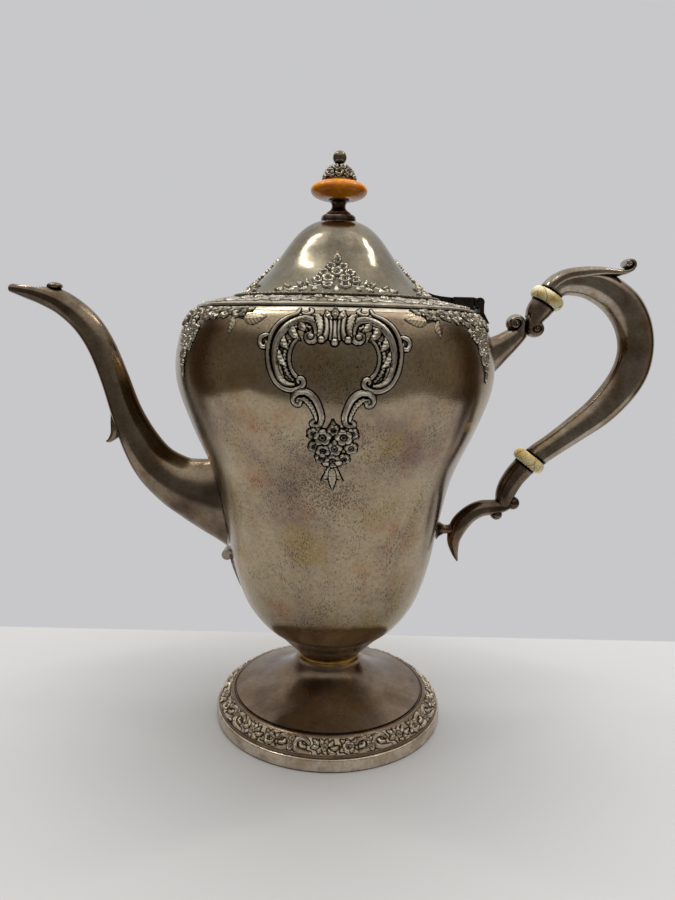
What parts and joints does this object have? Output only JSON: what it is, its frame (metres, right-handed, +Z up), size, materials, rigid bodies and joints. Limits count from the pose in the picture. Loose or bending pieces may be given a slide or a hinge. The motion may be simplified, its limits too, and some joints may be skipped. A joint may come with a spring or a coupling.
{
  "type": "coffee pot",
  "caption": "Tall footed coffee pot with a swan-neck spout, hinged domed lid with a finial, chased cartouche and an insulated scroll handle.",
  "frame": {"origin": "centre of the foot's resting face", "axes": "+Z up, spout towards -X, handle towards +X"},
  "size_m": [0.2788, 0.1364, 0.25],
  "materials": {
    "silver": "tarnished polished silver",
    "silver_bright": "lightly tarnished polished silver",
    "silver_dark": "heavily tarnished silver",
    "silver_gilt": "yellowed silver and solder",
    "hinge_silver": "oxidised silver",
    "steel": "plain",
    "ivory": "polished, finely cracked",
    "butterscotch": "polished phenolic resin"
  },
  "bodies": {
    "pot": {"body_shell": "silver", "mouth_ring": "silver", "neck_collar": "silver_gilt", "foot_shell": "silver_dark", "foot_border": "silver_dark", "foot_rim": "silver_dark", "spout": "silver", "spout_drop": "silver", "body_hinge_leaf": "hinge_silver", "hinge_pin": "hinge_silver", "upper_socket": "silver", "lower_socket": "silver", "upper_insulator": "ivory", "lower_insulator": "ivory", "grip": "silver", "handle_pins": "silver"},
    "lid": {"lid_dome": "silver_bright", "lid_band": "silver", "lid_bead": "silver_bright", "lid_flange": "silver", "finial_stem": "silver_bright", "finial_disc": "butterscotch", "finial_crown": "silver_bright", "finial_stud": "steel", "finial_washer": "steel", "finial_nut": "steel", "lid_hinge_leaf": "hinge_silver"}
  },
  "joints": [
    {"name": "lid_hinge", "type": "hinge", "parent": "pot", "child": "lid", "pos_m": [0.0599, 0, 0.1887], "axis": [0, 1, 0], "range_deg": [0, 100]}
  ]
}
